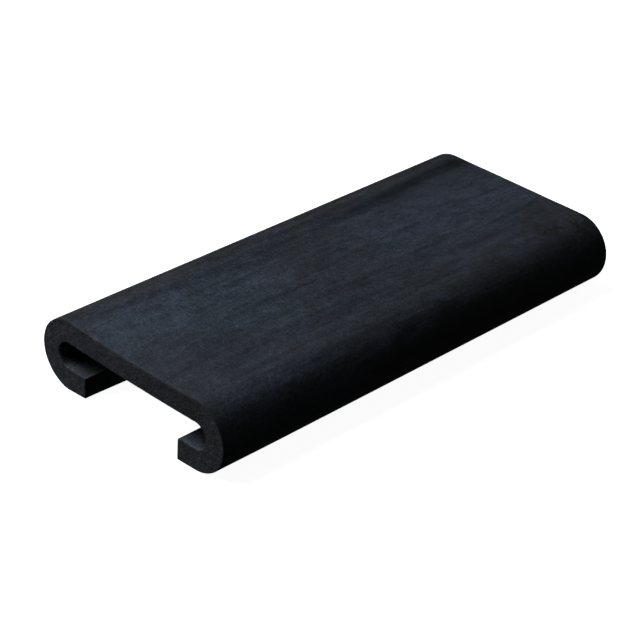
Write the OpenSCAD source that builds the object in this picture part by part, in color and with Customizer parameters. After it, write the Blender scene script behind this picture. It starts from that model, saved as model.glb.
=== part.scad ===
// Rubber C-profile: a length of extruded cover strip that slides or clips onto a flat bar.
// X runs across the profile, Y along it and Z up. The origin is the centre of the base.

/* [Profile] */
// Overall width, over the two half-round sides
profile_w = 80; // [60:1:120]
// Overall height, from the underside of the lips to the top face
profile_h = 24; // [20:0.5:30]
// Length between the two cut ends
profile_l = 172; // [40:1:1000]

/* [Walls] */
// Thickness of the flat web on top
web_t = 7.5; // [5:0.25:9]
// Thickness of each half-round side, from its outermost point in to the slot
side_t = 7.5; // [5:0.25:9]

/* [Lips] */
// Thickness of each lip, under the slot
lip_t = 7.5; // [5:0.25:9]
// How far each lip reaches inwards, from the outermost point of its side to its tip
lip_reach = 19.5; // [16:0.5:26]
// Rounding of the two long edges of each lip's tip
lip_edge_r = 0.5; // [0.25:0.25:2]

/* [Hidden] */
$fn = 96;

// The slot lies between the web and the lips, and its ends are half rounds like the sides.
slot_w = profile_w - 2 * side_t;
slot_h = profile_h - web_t - lip_t;
slot_z = lip_t + slot_h / 2;
// The mouth is the gap between the tips of the two lips.
mouth_w = profile_w - 2 * lip_reach;
// How far a cut reaches into open space, so that it leaves no skin
cut_over = 1;

// A bar shape with half-round ends, centred in the plane.
module stadium(width, height) {
    end_x = (width - height) / 2;
    square([2 * end_x, height], center = true);
    for (side = [-1, 1])
        translate([side * end_x, 0])
            circle(d = height);
}

// What comes off a square corner to round it, with the corner at the origin and the material
// towards +X and +Y.
module corner_waste(radius) {
    difference() {
        translate([-cut_over, -cut_over])
            square(cut_over + radius);
        translate([radius, radius])
            circle(r = radius);
    }
}

// The waste at the lower and upper edges of the right-hand lip's tip.
module tip_waste() {
    translate([mouth_w / 2, 0])
        corner_waste(lip_edge_r);
    translate([mouth_w / 2, lip_t])
        mirror([0, 1])
            corner_waste(lip_edge_r);
}

// The gap between the lips, from below the base up into the slot.
module mouth() {
    translate([-mouth_w / 2, -cut_over])
        square([mouth_w, cut_over + slot_z]);
}

// The C-shaped section, with X across and Y as the height.
module section() {
    difference() {
        translate([0, profile_h / 2])
            stadium(profile_w, profile_h);
        translate([0, slot_z])
            stadium(slot_w, slot_h);
        mouth();
        tip_waste();
        mirror([1, 0])
            tip_waste();
    }
}

// The extrusion, cut square at both ends.
module rubber_profile() {
    color("#1b1d21")
        translate([0, profile_l / 2, 0])
            rotate([90, 0, 0])
                linear_extrude(profile_l)
                    section();
}

rubber_profile();
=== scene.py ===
"""A length of black rubber C-profile on a plain pale floor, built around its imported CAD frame."""

import math

import bpy
import numpy as np
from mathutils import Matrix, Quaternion, Vector, noise


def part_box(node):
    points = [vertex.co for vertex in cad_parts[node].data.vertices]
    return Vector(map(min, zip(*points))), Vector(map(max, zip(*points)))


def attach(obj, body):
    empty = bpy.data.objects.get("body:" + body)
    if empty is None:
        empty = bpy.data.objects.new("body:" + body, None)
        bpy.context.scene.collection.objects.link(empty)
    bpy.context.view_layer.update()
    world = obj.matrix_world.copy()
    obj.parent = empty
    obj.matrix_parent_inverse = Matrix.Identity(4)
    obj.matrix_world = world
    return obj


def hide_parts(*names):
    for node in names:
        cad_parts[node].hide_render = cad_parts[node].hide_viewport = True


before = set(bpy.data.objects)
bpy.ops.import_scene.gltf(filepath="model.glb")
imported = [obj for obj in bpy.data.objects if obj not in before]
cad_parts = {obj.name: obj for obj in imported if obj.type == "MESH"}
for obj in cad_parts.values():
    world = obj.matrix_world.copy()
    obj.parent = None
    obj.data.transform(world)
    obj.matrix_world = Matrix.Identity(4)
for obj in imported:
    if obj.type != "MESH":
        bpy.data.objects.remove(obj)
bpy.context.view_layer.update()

MM = 0.001
NODE = "rubber_profile"
low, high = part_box(NODE)

# ---------------------------------------------------------------- the section
WALL = 7.5 * MM        # thickness of the web, the sides and the lips
LIP_REACH = 19.5 * MM  # from the outermost point of a side in to its lip's tip
HEIGHT = high.z - low.z
LENGTH = high.y - low.y
HALF_WIDTH = (high.x - low.x) / 2
MID_RADIUS = (HEIGHT - WALL) / 2            # of the wall's middle line, round a side
BEND_X = HALF_WIDTH - HEIGHT / 2            # where the flat web ends and a side begins
BEND_ARC = math.pi * MID_RADIUS
LIP_FLAT = LIP_REACH - HEIGHT / 2
# The wall unrolled into a flat strip: half its width, thickness and length
HALF_STRIP = np.array([BEND_X + BEND_ARC + LIP_FLAT, WALL / 2, LENGTH / 2])

# ---------------------------------------------------------------- the shape's small departures
TIP_ROUND = 0.35 * MM     # rounding of the lips' long edges
TIP_WORN = 0.9 * MM       # the same, on the right lip's upper edge
EDGE_ROUND = 0.3 * MM     # rounding of the sawn edges
EDGE_SOFT = 0.9 * MM      # the same, at the middle of the web, where the edge is worn softer
SAG = 0.9 * MM            # how far the web's top sags at the near cut
FOOT_LIFT = 0.45 * MM     # how far the lips' undersides lift there
SAG_REACH = 14 * MM       # how far in from the cut both have fallen to about a third
DUST_AND_LIGHT_REACH = 7.5 * MM     # how far the dust and the painted light at the cuts lie into the slot
NICK_LEAST = 0.12 * MM    # limits of the sawn edges' rounding, where nicks make it uneven
NICK_MOST = 1.0 * MM
WAVE_DEPTH = 0.05 * MM    # depth of the skin's slow waves
GRAIN_DEPTH = 0.07 * MM   # depth of the cut's torn grain, and of its broader steps

GRID_ACROSS = 0.8 * MM    # spacing of the mesh along the section
GRID_THICK = 0.5 * MM     # through the wall
GRID_LONG = 1.6 * MM      # along the length
EDGE_LINES = (0, 0.07, 0.15, 0.25, 0.36, 0.5, 0.7, 1.0)  # mm in from an edge, where the mesh is finer


def smooth(value, start, end):
    """0 before start, 1 after end and an even S between them."""
    t = np.clip((value - start) / (end - start), 0, 1)
    return t * t * (3 - 2 * t)


def graded(half, step):
    """Grid lines from -half to half, a step apart, with closer ones at both ends."""
    edge = [half - e * MM for e in EDGE_LINES]
    room = 2 * edge[-1]
    count = max(2, round(room / step))
    middle = np.linspace(-edge[-1], edge[-1], count + 1)[1:-1]
    return np.array([-e for e in edge] + list(middle) + edge[::-1])


def strip_lattice():
    """The faces of a fine box lattice: its points in the flat strip's own directions, and its quads."""
    lines = [graded(h, s) for h, s in zip(HALF_STRIP, (GRID_ACROSS, GRID_THICK, GRID_LONG))]
    last = [len(a) - 1 for a in lines]
    index, points, quads = {}, [], []

    def vertex(key):
        if key not in index:
            index[key] = len(points)
            points.append([lines[axis][key[axis]] for axis in range(3)])
        return index[key]

    for axis in range(3):
        one, two = (axis + 1) % 3, (axis + 2) % 3
        for end in (0, last[axis]):
            for i in range(last[one]):
                for j in range(last[two]):
                    corners = [(i, j), (i + 1, j), (i + 1, j + 1), (i, j + 1)]
                    if end > 0:
                        corners.reverse()
                    quad = []
                    for a, b in corners:
                        key = [0, 0, 0]
                        key[axis], key[one], key[two] = end, a, b
                        quad.append(vertex(tuple(key)))
                    quads.append(quad)
    return np.array(points), quads


def noise_field(points, size, seed):
    """Smooth noise from about -1 to 1 at each point, with features of the given size."""
    shift = Vector((seed * 17.3, seed * 5.9, seed * 11.1))
    scale = 1 / np.array(size, float) * np.ones(3)
    return np.array([noise.noise(Vector(p) + shift) for p in points * scale])


def edge_radii(points):
    """The rounding at each point of the strip, in its three directions."""
    across, _, along = points.T
    web = 1 - smooth(np.abs(across), 0.55 * BEND_X, 1.1 * BEND_X)
    near_outer = (points[:, 1] > 0) & (along < 0)
    soft = EDGE_ROUND + (EDGE_SOFT - EDGE_ROUND) * web * near_outer
    nicks = 1 + 0.3 * noise_field(points, 2.2 * MM, 1) + 0.25 * noise_field(points, 7 * MM, 2)
    cut = np.clip(soft * nicks, NICK_LEAST, NICK_MOST)
    tip = np.where((across > 0) & (points[:, 1] < 0), TIP_WORN, TIP_ROUND)
    at_tip = smooth(np.abs(across), HALF_STRIP[0] - 3 * MM, HALF_STRIP[0] - TIP_WORN)
    return np.stack([tip, cut + (tip - cut) * at_tip, cut], axis=1)


def rounded(points):
    """Moves the lattice's points near an edge onto that edge's rounding."""
    radii = edge_radii(points)
    core = np.clip(points, radii - HALF_STRIP, HALF_STRIP - radii)
    out = (points - core) / radii
    return core + radii * out / np.linalg.norm(out, axis=1)[:, None]


def folded(points):
    """Bends the flat strip into the C: x and z of each point."""
    across, outward, _ = points.T
    reach = np.abs(across)
    angle = np.clip((reach - BEND_X) / MID_RADIUS, 0, math.pi)
    on_lip = np.clip(reach - BEND_X - BEND_ARC, 0, None)
    radius = MID_RADIUS + outward
    x = np.minimum(reach, BEND_X) + radius * np.sin(angle) - on_lip
    z = HEIGHT / 2 + radius * np.cos(angle)
    return np.sign(across) * x, z


def settled(x, y, z):
    """The height of each point with the web sagging and the lips' undersides lifting at the near cut."""
    near = np.exp(-((y + LENGTH / 2) / SAG_REACH) ** 2)
    over = np.clip(1 - (x / BEND_X) ** 2, 0, 1) ** 0.8 * smooth(z, 0.5 * HEIGHT, 0.65 * HEIGHT)
    sag = SAG * over * (0.4 + 0.6 * smooth(z, HEIGHT - WALL, HEIGHT))
    inward = np.clip((BEND_X + 2 * MM - np.abs(x)) / (LIP_FLAT + 2 * MM), 0, 1)
    lift = FOOT_LIFT * np.where(x < 0, inward ** 1.6, 0.7 - 0.7 * inward) * (1 - smooth(z, 0, WALL))
    return z + near * (lift - sag)


def build_profile():
    """The whole profile as one closed mesh of quads."""
    flat, quads = strip_lattice()
    strip = rounded(flat)
    x, z = folded(strip)
    y = strip[:, 2]
    z = settled(x, y, z)
    points = np.stack([x, y, z], axis=1)
    mesh = bpy.data.meshes.new("profile_body")
    mesh.from_pydata(points.tolist(), [], quads)
    mesh.update()
    normals = np.array([v.vector for v in mesh.vertex_normals])
    # The skin's slow waves and the cut's torn grain, both only inwards
    sawn = smooth(np.abs(normals[:, 1]), 0.5, 0.9)
    waves = 0.5 + 0.5 * noise_field(points, (16 * MM, 45 * MM, 16 * MM), 3)
    grain = 0.5 + 0.5 * noise_field(points, 1.6 * MM, 4)
    steps = 0.5 + 0.5 * noise_field(points, (9 * MM, 9 * MM, 4 * MM), 5)
    depth = (1 - sawn) * WAVE_DEPTH * waves + sawn * GRAIN_DEPTH * (grain + steps)
    points -= normals * np.clip(depth, 0, None)[:, None]
    mesh.vertices.foreach_set("co", points.ravel())
    store(mesh, "cut", smooth(np.abs(normals[:, 1]), 0.25, 0.75))
    inside = smooth(-strip[:, 1], 0.6 * WALL / 2, 0.95 * WALL / 2)
    store(mesh, "slot", inside)
    store(mesh, "edge", edge_nearness(flat))
    # Paler inside the slot near both cuts: dust, and painted light where the slot is open at the cut
    store(mesh, "dust_and_light", inside * smooth(np.abs(y), LENGTH / 2 - DUST_AND_LIGHT_REACH, LENGTH / 2 - 1 * MM))
    mesh.polygons.foreach_set("use_smooth", [True] * len(quads))
    mesh.update()
    piece = bpy.data.objects.new("profile_body", mesh)
    bpy.context.scene.collection.objects.link(piece)
    return piece


def edge_nearness(flat):
    """1 on an edge of the strip, falling to 0 some 1.2 mm away from it."""
    gaps = np.sort(HALF_STRIP - np.abs(flat), axis=1)
    return 1 - smooth(gaps[:, 1], 0.1 * MM, 1.2 * MM)


def store(mesh, name, values):
    """Keeps one number for each point of the mesh, for the material to read."""
    layer = mesh.attributes.new(name, "FLOAT", "POINT")
    layer.data.foreach_set("value", np.asarray(values, np.float32))


# ---------------------------------------------------------------- materials
ZONE_EDGE = 0.45  # half the width of a zone's soft edge, as a share of its radii


class Nodes:
    """Short calls for building one material's nodes."""

    def __init__(self, name):
        self.material = bpy.data.materials.new(name)
        self.material.use_nodes = True
        self.tree = self.material.node_tree
        self.shader = self.tree.nodes["Principled BSDF"]
        self.place = self.add("ShaderNodeTexCoord").outputs["Object"]
        self.stray = None
        apart = self.add("ShaderNodeSeparateXYZ")
        self.put(apart.inputs[0], self.place)
        self.across, self.along, self.up = apart.outputs

    def add(self, kind, **settings):
        node = self.tree.nodes.new(kind)
        for key, value in settings.items():
            setattr(node, key, value)
        return node

    def put(self, socket, value):
        if isinstance(value, bpy.types.NodeSocket):
            self.tree.links.new(value, socket)
        else:
            socket.default_value = value

    def attribute(self, name):
        return self.add("ShaderNodeAttribute", attribute_name=name).outputs["Fac"]

    def noise(self, size_mm, detail, rough, shift=0.0):
        """Noise with features of size_mm, which is one number or one for each direction."""
        sizes = size_mm if isinstance(size_mm, tuple) else (size_mm,) * 3
        mapping = self.add("ShaderNodeMapping")
        self.put(mapping.inputs["Vector"], self.place)
        mapping.inputs["Scale"].default_value = [1 / (s * MM) for s in sizes]
        mapping.inputs["Location"].default_value = (shift, shift * 0.7, shift * 1.3)
        texture = self.add("ShaderNodeTexNoise")
        self.put(texture.inputs["Vector"], mapping.outputs["Vector"])
        texture.inputs["Scale"].default_value = 1.0
        texture.inputs["Detail"].default_value = detail
        texture.inputs["Roughness"].default_value = rough
        return texture.outputs["Fac"]

    def zone(self, centre, radii, wander=0.5):
        """1 inside an oval of the plan view, in mm, and 0 outside, with a soft edge that wanders."""
        if self.stray is None:
            self.stray = self.remap(self.noise((7, 13, 7), 4, 0.6, 2.0), 0.3, 0.7, -1.0, 1.0)
        mapping = self.add("ShaderNodeMapping")
        self.put(mapping.inputs["Vector"], self.place)
        mapping.inputs["Scale"].default_value = (1 / (radii[0] * MM), 1 / (radii[1] * MM), 0)
        mapping.inputs["Location"].default_value = (-centre[0] / radii[0], -centre[1] / radii[1], 0)
        length = self.add("ShaderNodeVectorMath", operation="LENGTH")
        self.put(length.inputs[0], mapping.outputs["Vector"])
        distance = self.maths("ADD", length.outputs["Value"], self.maths("MULTIPLY", self.stray, wander))
        return self.remap(distance, 1 + ZONE_EDGE, 1 - ZONE_EDGE)

    def remap(self, value, start, end, low=0.0, high=1.0):
        """A smooth step from low, where the value is start, to high, where it is end."""
        node = self.add("ShaderNodeMapRange", interpolation_type="SMOOTHSTEP")
        for key, number in (("Value", value), ("From Min", start), ("From Max", end),
                            ("To Min", low), ("To Max", high)):
            self.put(node.inputs[key], number)
        return node.outputs["Result"]

    def maths(self, operation, one, two):
        node = self.add("ShaderNodeMath", operation=operation)
        self.put(node.inputs[0], one)
        self.put(node.inputs[1], two)
        return node.outputs["Value"]

    def mix(self, share, one, two):
        """One colour turning into the other as the share goes from 0 to 1."""
        node = self.add("ShaderNodeMix", data_type="RGBA")
        self.put(node.inputs["Factor"], share)
        self.put(node.inputs[6], one)
        self.put(node.inputs[7], two)
        return node.outputs[2]

    def blend(self, share, one, two):
        """The same for two plain numbers."""
        node = self.add("ShaderNodeMix", data_type="FLOAT")
        self.put(node.inputs["Factor"], share)
        self.put(node.inputs[2], one)
        self.put(node.inputs[3], two)
        return node.outputs[0]

    def scaled(self, colour, factor):
        node = self.add("ShaderNodeVectorMath", operation="SCALE")
        self.put(node.inputs[0], colour)
        self.put(node.inputs["Scale"], factor)
        return node.outputs["Vector"]

    def bump(self, height, distance_mm, strength, below=None):
        """Relief from a height, on top of the relief below it."""
        node = self.add("ShaderNodeBump")
        node.inputs["Distance"].default_value = distance_mm * MM
        self.put(node.inputs["Strength"], strength)
        self.put(node.inputs["Height"], height)
        if below is not None:
            self.put(node.inputs["Normal"], below)
        return node.outputs["Normal"]


SKIN_BLUE = (0.0138, 0.0190, 0.0290, 1)
SKIN_TEAL = (0.0118, 0.0192, 0.0268, 1)
SKIN_LILAC = (0.0150, 0.0182, 0.0292, 1)
SKIN_WARM = (0.0138, 0.0160, 0.0212, 1)
SKIN_BROWN = (0.0145, 0.0146, 0.0170, 1)
SKIN_DARK = (0.0042, 0.0064, 0.0082, 1)
FLOW_DARK = (0.0050, 0.0090, 0.0110, 1)
SKIN_PALE = (0.0222, 0.0290, 0.0400, 1)
SLOT_DARK = (0.0060, 0.0065, 0.0080, 1)
# Pale dust near the cuts inside the slot, which also stands in as painted light there
DUST_AND_LIGHT = (0.0470, 0.0560, 0.0650, 1)
CUT_DARK = (0.0104, 0.0106, 0.0130, 1)
CUT_PALE = (0.0325, 0.0335, 0.0395, 1)
CUT_SMEAR = (0.0080, 0.0078, 0.0100, 1)

SKIN_ROUGH = (0.49, 0.69)
FLOW_ROUGH = 0.34
CUT_ROUGH = 0.92
SKIN_RELIEF = 0.30  # mm
CUT_RELIEF = 0.65   # mm

# Zones of the plan view: centre and radii in mm
NEAR_BLOOM = ((-6, -60), (18, 28))
FAR_BLOOM = ((-12, 50), (13, 24))
RUBBED_MIDDLE = ((2, -2), (30, 15))
RUBBED_RIGHT = ((27, 2), (12, 46))
BROWN_SIDE = ((-32, 0), (6.5, 110))
CUT_SMEARED = ((19, -86), (13, 20))
CUT_PALE_LIP = ((24, -86), (8, 20))
CUT_PALE_SIDE = ((-36, -86), (16, 20))

# Where the bloom lies thick, above 0, or thin, below it, and where shade is painted down the right side:
# a zone's centre and radii, and how much
BLOOM_AND_SHADE = (
    ((-15, -68), (13, 26), 0.45),
    ((-6, -40), (24, 20), 0.20),
    ((-10, -23), (9, 11), 0.26),
    ((8, -22), (6, 9), -0.12),
    ((-2, 54), (12, 40), 0.32),
    ((-27, -66), (6, 34), -0.10),
    ((9, -74), (14, 24), -0.20),
    ((-10, -6), (24, 11), -0.16),
    ((-28, 70), (6, 42), -0.15),
    ((-20, 84), (9, 14), -0.22),
    ((24, 82), (12, 13), -0.60),
    ((26, 20), (8, 60), -0.18),
    # These two darken the right side: partly thinner bloom, partly painted shade where the side turns
    # away from the light
    ((38, 52), (11, 56), -0.42),
    ((43, -6), (5, 130), -0.30),
    ((1, 38), (1.4, 21), 0.22),
)

# Short dark streaks, in the same way
MARKS = (
    ((1.9, -20), (0.6, 7), 0.55),
    ((10.3, 38), (0.8, 19), 0.32),
    ((12.5, 72), (0.9, 17), 0.30),
    ((-28.5, -79), (1.4, 7), 0.35),
)

# The flow line: a dark line along the left that bends out a little from its innermost point
FLOW_LEFT = 21.2 * MM      # from the middle of the web to the line's innermost point
FLOW_INNERMOST = 8 * MM    # where that point is along the length
FLOW_SLOPE = 0.042         # how fast the line moves out from there
FLOW_WOBBLE = 0.7 * MM
FLOW_NARROW = 2.4 * MM     # half its width on the near half
FLOW_BROAD = 4.8 * MM      # and at the far end


def flow_line(n):
    """The flow line, faint at first and dark towards the far end."""
    away = n.maths("ABSOLUTE", n.maths("SUBTRACT", n.along, FLOW_INNERMOST), 0.0)
    centre = n.maths("ADD", FLOW_LEFT, n.maths("MULTIPLY", away, FLOW_SLOPE))
    wobble = n.remap(n.noise((80, 22, 80), 2, 0.5, 21.0), 0.3, 0.7, -FLOW_WOBBLE, FLOW_WOBBLE)
    offset = n.maths("ABSOLUTE", n.maths("ADD", n.maths("ADD", n.across, centre), wobble), 0.0)
    width = n.remap(n.along, 15 * MM, 55 * MM, FLOW_NARROW, FLOW_BROAD)
    line = n.remap(n.maths("DIVIDE", offset, width), 1.0, 0.1)
    broken = n.remap(n.noise((2.2, 16, 80), 3, 0.6, 23.0), 0.34, 0.56, 0.72, 1.0)
    strength = n.remap(n.along, -5 * MM, 78 * MM, 0.26, 0.86)
    return n.maths("MULTIPLY", n.maths("MULTIPLY", line, broken), strength)


def dark_lines(n):
    """How dark and smooth the skin is: the flow line and the short streaks together."""
    dark = flow_line(n)
    for centre, radii, amount in MARKS:
        streak = n.zone(centre, radii, wander=0.3)
        dark = n.maths("MAXIMUM", dark, n.maths("MULTIPLY", streak, amount))
    return dark


def skin_colour(n, dark):
    """Blue-grey bloom over black, warmer where it is rubbed thin, in streaks along the length, with
    painted shade down the right side.
    """
    hues = n.mix(n.remap(n.noise((14, 26, 14), 3, 0.6, 3.0), 0.42, 0.58), SKIN_TEAL, SKIN_LILAC)
    colour = n.mix(0.6, SKIN_BLUE, hues)
    # Greener in the thick bloom near the cut, and more lilac on the far left
    colour = n.mix(n.maths("MULTIPLY", n.zone(*NEAR_BLOOM), 0.5), colour, SKIN_TEAL)
    colour = n.mix(n.maths("MULTIPLY", n.zone(*FAR_BLOOM), 0.5), colour, SKIN_LILAC)
    # Rubbed across the middle and down the right-hand strip, and browner along the left side
    rubbed = n.maths("MAXIMUM", n.zone(*RUBBED_MIDDLE), n.zone(*RUBBED_RIGHT))
    colour = n.mix(n.maths("MULTIPLY", rubbed, 0.8), colour, SKIN_WARM)
    side = n.zone(*BROWN_SIDE, wander=0.3)
    colour = n.mix(n.maths("MULTIPLY", side, 0.9), colour, SKIN_BROWN)
    clouds = n.remap(n.noise((7, 22, 7), 3, 0.55, 1.0), 0.42, 0.68)
    colour = n.mix(n.maths("MULTIPLY", clouds, 0.35), colour, SKIN_PALE)
    streaks = n.remap(n.noise((1.8, 44, 1.8), 3, 0.6, 8.0), 0.52, 0.72)
    colour = n.mix(n.maths("MULTIPLY", streaks, 0.5), colour, SKIN_DARK)
    shine = n.remap(n.noise((1.3, 34, 1.3), 3, 0.6, 15.0), 0.55, 0.72)
    colour = n.mix(n.maths("MULTIPLY", shine, 0.7), colour, SKIN_PALE)
    colour = n.mix(dark, colour, FLOW_DARK)
    # Bloom thicker or thinner by zones, and painted shade down the right side
    tone = 1.0
    for centre, radii, amount in BLOOM_AND_SHADE:
        tone = n.maths("ADD", tone, n.maths("MULTIPLY", n.zone(centre, radii), amount))
    return n.scaled(colour, tone)


def cut_colour(n):
    """Sandy grey, darker on the right of the web and paler on the left side and the right lip."""
    sand = n.remap(n.noise(0.9, 4, 0.8, 5.0), 0.32, 0.68)
    colour = n.mix(sand, CUT_DARK, CUT_PALE)
    clouds = n.remap(n.noise(3.5, 4, 0.6, 14.0), 0.42, 0.62)
    web = n.remap(n.up, 9 * MM, 15 * MM)
    smear = n.maths("MULTIPLY", n.zone(*CUT_SMEARED), web)
    share = n.maths("ADD", n.maths("MULTIPLY", clouds, 0.45), n.maths("MULTIPLY", smear, 0.5))
    colour = n.mix(share, colour, CUT_SMEAR)
    lip = n.maths("MULTIPLY", n.zone(*CUT_PALE_LIP), n.maths("SUBTRACT", 1.0, web))
    pale = n.maths("MAXIMUM", n.zone(*CUT_PALE_SIDE), lip)
    return n.scaled(colour, n.maths("ADD", 1.08, n.maths("MULTIPLY", pale, 0.22)))


def speckle(n):
    """Light and dark specks at three sizes: grain, sand and mottling."""
    grain = n.remap(n.noise(0.7, 1, 0.6), 0.30, 0.70, 0.57, 1.43)
    sand = n.remap(n.noise(1.5, 2, 0.6, 2.0), 0.30, 0.70, 0.72, 1.28)
    mottle = n.remap(n.noise((4, 7, 4), 2, 0.5, 13.0), 0.34, 0.66, 0.79, 1.21)
    return n.maths("MULTIPLY", n.maths("MULTIPLY", grain, sand), mottle)


def skin_finish(n, dark):
    """Roughness of the skin, drawn out along the length and smoother in the dark lines."""
    drawn = n.maths("ADD", n.noise((5, 30, 5), 4, 0.6, 12.0), n.noise((1.7, 46, 1.7), 3, 0.6, 18.0))
    return n.blend(dark, n.remap(drawn, 0.75, 1.25, *SKIN_ROUGH), FLOW_ROUGH)


def skin_relief(n):
    """Height of the skin's fine pores, long die lines and ripple."""
    pores = n.maths("MULTIPLY", n.noise(0.5, 2, 0.6), 0.4)
    lines = n.maths("MULTIPLY", n.noise((0.9, 90, 0.9), 3, 0.6, 4.0), 0.3)
    ripple = n.maths("MULTIPLY", n.noise((1.7, 2.2, 1.7), 1, 0.5, 16.0), 0.6)
    return n.maths("ADD", n.maths("ADD", pores, lines), ripple)


def cut_relief(n):
    """Height of the cut's coarse sand, saw lines and torn patches."""
    sand = n.noise(0.8, 5, 0.8, 9.0)
    saw = n.maths("MULTIPLY", n.noise((14, 14, 0.7), 3, 0.6, 6.0), 0.3)
    torn = n.maths("MULTIPLY", n.noise(3.2, 2, 0.6, 17.0), 1.5)
    return n.maths("ADD", n.maths("ADD", sand, saw), torn)


def rubber():
    """Black rubber: the bloomed skin, the plain slot with dust and painted light near its ends, the
    sandy cuts and painted shade along the edges.
    """
    n = Nodes("rubber")
    cut, slot, dust_and_light, edge = (n.attribute(name) for name in ("cut", "slot", "dust_and_light", "edge"))
    dark = dark_lines(n)
    colour = n.mix(slot, skin_colour(n, dark), SLOT_DARK)
    # Dust inside the slot near the cuts, partly painted light where the slot opens
    patchiness = n.remap(n.noise(2.5, 4, 0.7, 11.0), 0.3, 0.6, 0.4, 1.0)
    colour = n.mix(n.maths("MULTIPLY", dust_and_light, patchiness), colour, DUST_AND_LIGHT)
    colour = n.mix(cut, colour, cut_colour(n))
    # Darker along the edges, less so inside the slot: painted shade that takes the highlight off the
    # rounded edges
    edge_shade = n.maths("MULTIPLY", edge, n.maths("SUBTRACT", 0.75, n.maths("MULTIPLY", slot, 0.75)))
    colour = n.mix(edge_shade, colour, CUT_DARK)
    n.put(n.shader.inputs["Base Color"], n.scaled(colour, speckle(n)))
    rough = n.blend(n.maths("MAXIMUM", cut, edge), skin_finish(n, dark), CUT_ROUGH)
    n.put(n.shader.inputs["Roughness"], rough)
    relief = n.bump(skin_relief(n), SKIN_RELIEF, n.maths("SUBTRACT", 1.0, cut))
    relief = n.bump(cut_relief(n), CUT_RELIEF, cut, relief)
    n.put(n.shader.inputs["Normal"], relief)
    return n.material


# ---------------------------------------------------------------- camera, lights and floor
CAMERA_AIM = Vector((6.1, -14.0, 12.0)) * MM
CAMERA_AWAY = 648 * MM
CAMERA_AZIMUTH = math.radians(43.5)  # to the right of looking along +Y
CAMERA_ELEVATION = math.radians(30.75)
CAMERA_ROLL = math.radians(2.95)
CAMERA_LENS = 117.6
COOL = (0.94, 1.0, 1.09)  # colour of the studio light
# The softboxes: azimuth and elevation in degrees, width and height in metres, and watts
SOFTBOXES = {
    "key": (-51, 47, 0.7, 0.7, 9.0),
    "back": (192, 5, 0.5, 0.3, 1.1),
    "right": (98, 8, 0.5, 0.3, 0.11),
}
SOFTBOX_AWAY = 0.9
WORLD_LEVEL = 0.014
FLOOR_HALF = 20           # metres
FLOOR_GLOW = 0.95


def aimed(obj, place, target, roll=0.0):
    """Puts a camera or light in its place, looking at the target."""
    obj.location = place
    turn = (target - place).to_track_quat("-Z", "Y")
    obj.rotation_mode = "QUATERNION"
    obj.rotation_quaternion = turn @ Quaternion((0, 0, 1), roll)
    bpy.context.scene.collection.objects.link(obj)


def direction(azimuth, elevation):
    """Unit vector from the object towards a place at that azimuth and elevation."""
    level = math.cos(elevation)
    return Vector((math.sin(azimuth) * level, -math.cos(azimuth) * level, math.sin(elevation)))


def add_camera():
    data = bpy.data.cameras.new("camera")
    data.lens = CAMERA_LENS
    data.sensor_width = 36
    data.clip_start = 0.01
    camera = bpy.data.objects.new("camera", data)
    away = direction(CAMERA_AZIMUTH, CAMERA_ELEVATION) * CAMERA_AWAY
    aimed(camera, CAMERA_AIM + away, CAMERA_AIM, CAMERA_ROLL)
    bpy.context.scene.camera = camera


def add_softbox(name, azimuth, elevation, width, height, watts):
    data = bpy.data.lights.new(name, "AREA")
    data.shape = "RECTANGLE"
    data.size = width
    data.size_y = height
    data.energy = watts
    data.color = COOL
    centre = Vector((0, 0, HEIGHT / 2))
    place = centre + direction(math.radians(azimuth), math.radians(elevation)) * SOFTBOX_AWAY
    aimed(bpy.data.objects.new(name, data), place, centre)


def add_floor():
    mesh = bpy.data.meshes.new("floor")
    corners = [(-1, -1), (1, -1), (1, 1), (-1, 1)]
    mesh.from_pydata([(x * FLOOR_HALF, y * FLOOR_HALF, 0) for x, y in corners], [], [(0, 1, 2, 3)])
    floor = bpy.data.objects.new("floor", mesh)
    bpy.context.scene.collection.objects.link(floor)
    paint = Nodes("floor")
    paint.shader.inputs["Base Color"].default_value = (0.85, 0.85, 0.85, 1)
    paint.shader.inputs["Roughness"].default_value = 0.9
    paint.shader.inputs["Specular IOR Level"].default_value = 0.1
    paint.shader.inputs["Emission Color"].default_value = (1, 1, 1, 1)
    paint.shader.inputs["Emission Strength"].default_value = FLOOR_GLOW
    mesh.materials.append(paint.material)
    floor.visible_diffuse = False
    floor.visible_glossy = False


def add_world():
    world = bpy.data.worlds.new("world")
    world.use_nodes = True
    background = world.node_tree.nodes["Background"]
    background.inputs["Color"].default_value = (1, 1, 1, 1)
    background.inputs["Strength"].default_value = WORLD_LEVEL
    bpy.context.scene.world = world


add_camera()
profile = build_profile()
profile.data.materials.append(rubber())
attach(profile, "root")
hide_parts(NODE)

add_floor()
add_world()
for softbox, settings in SOFTBOXES.items():
    add_softbox(softbox, *settings)
bpy.context.scene.view_settings.view_transform = "Standard"
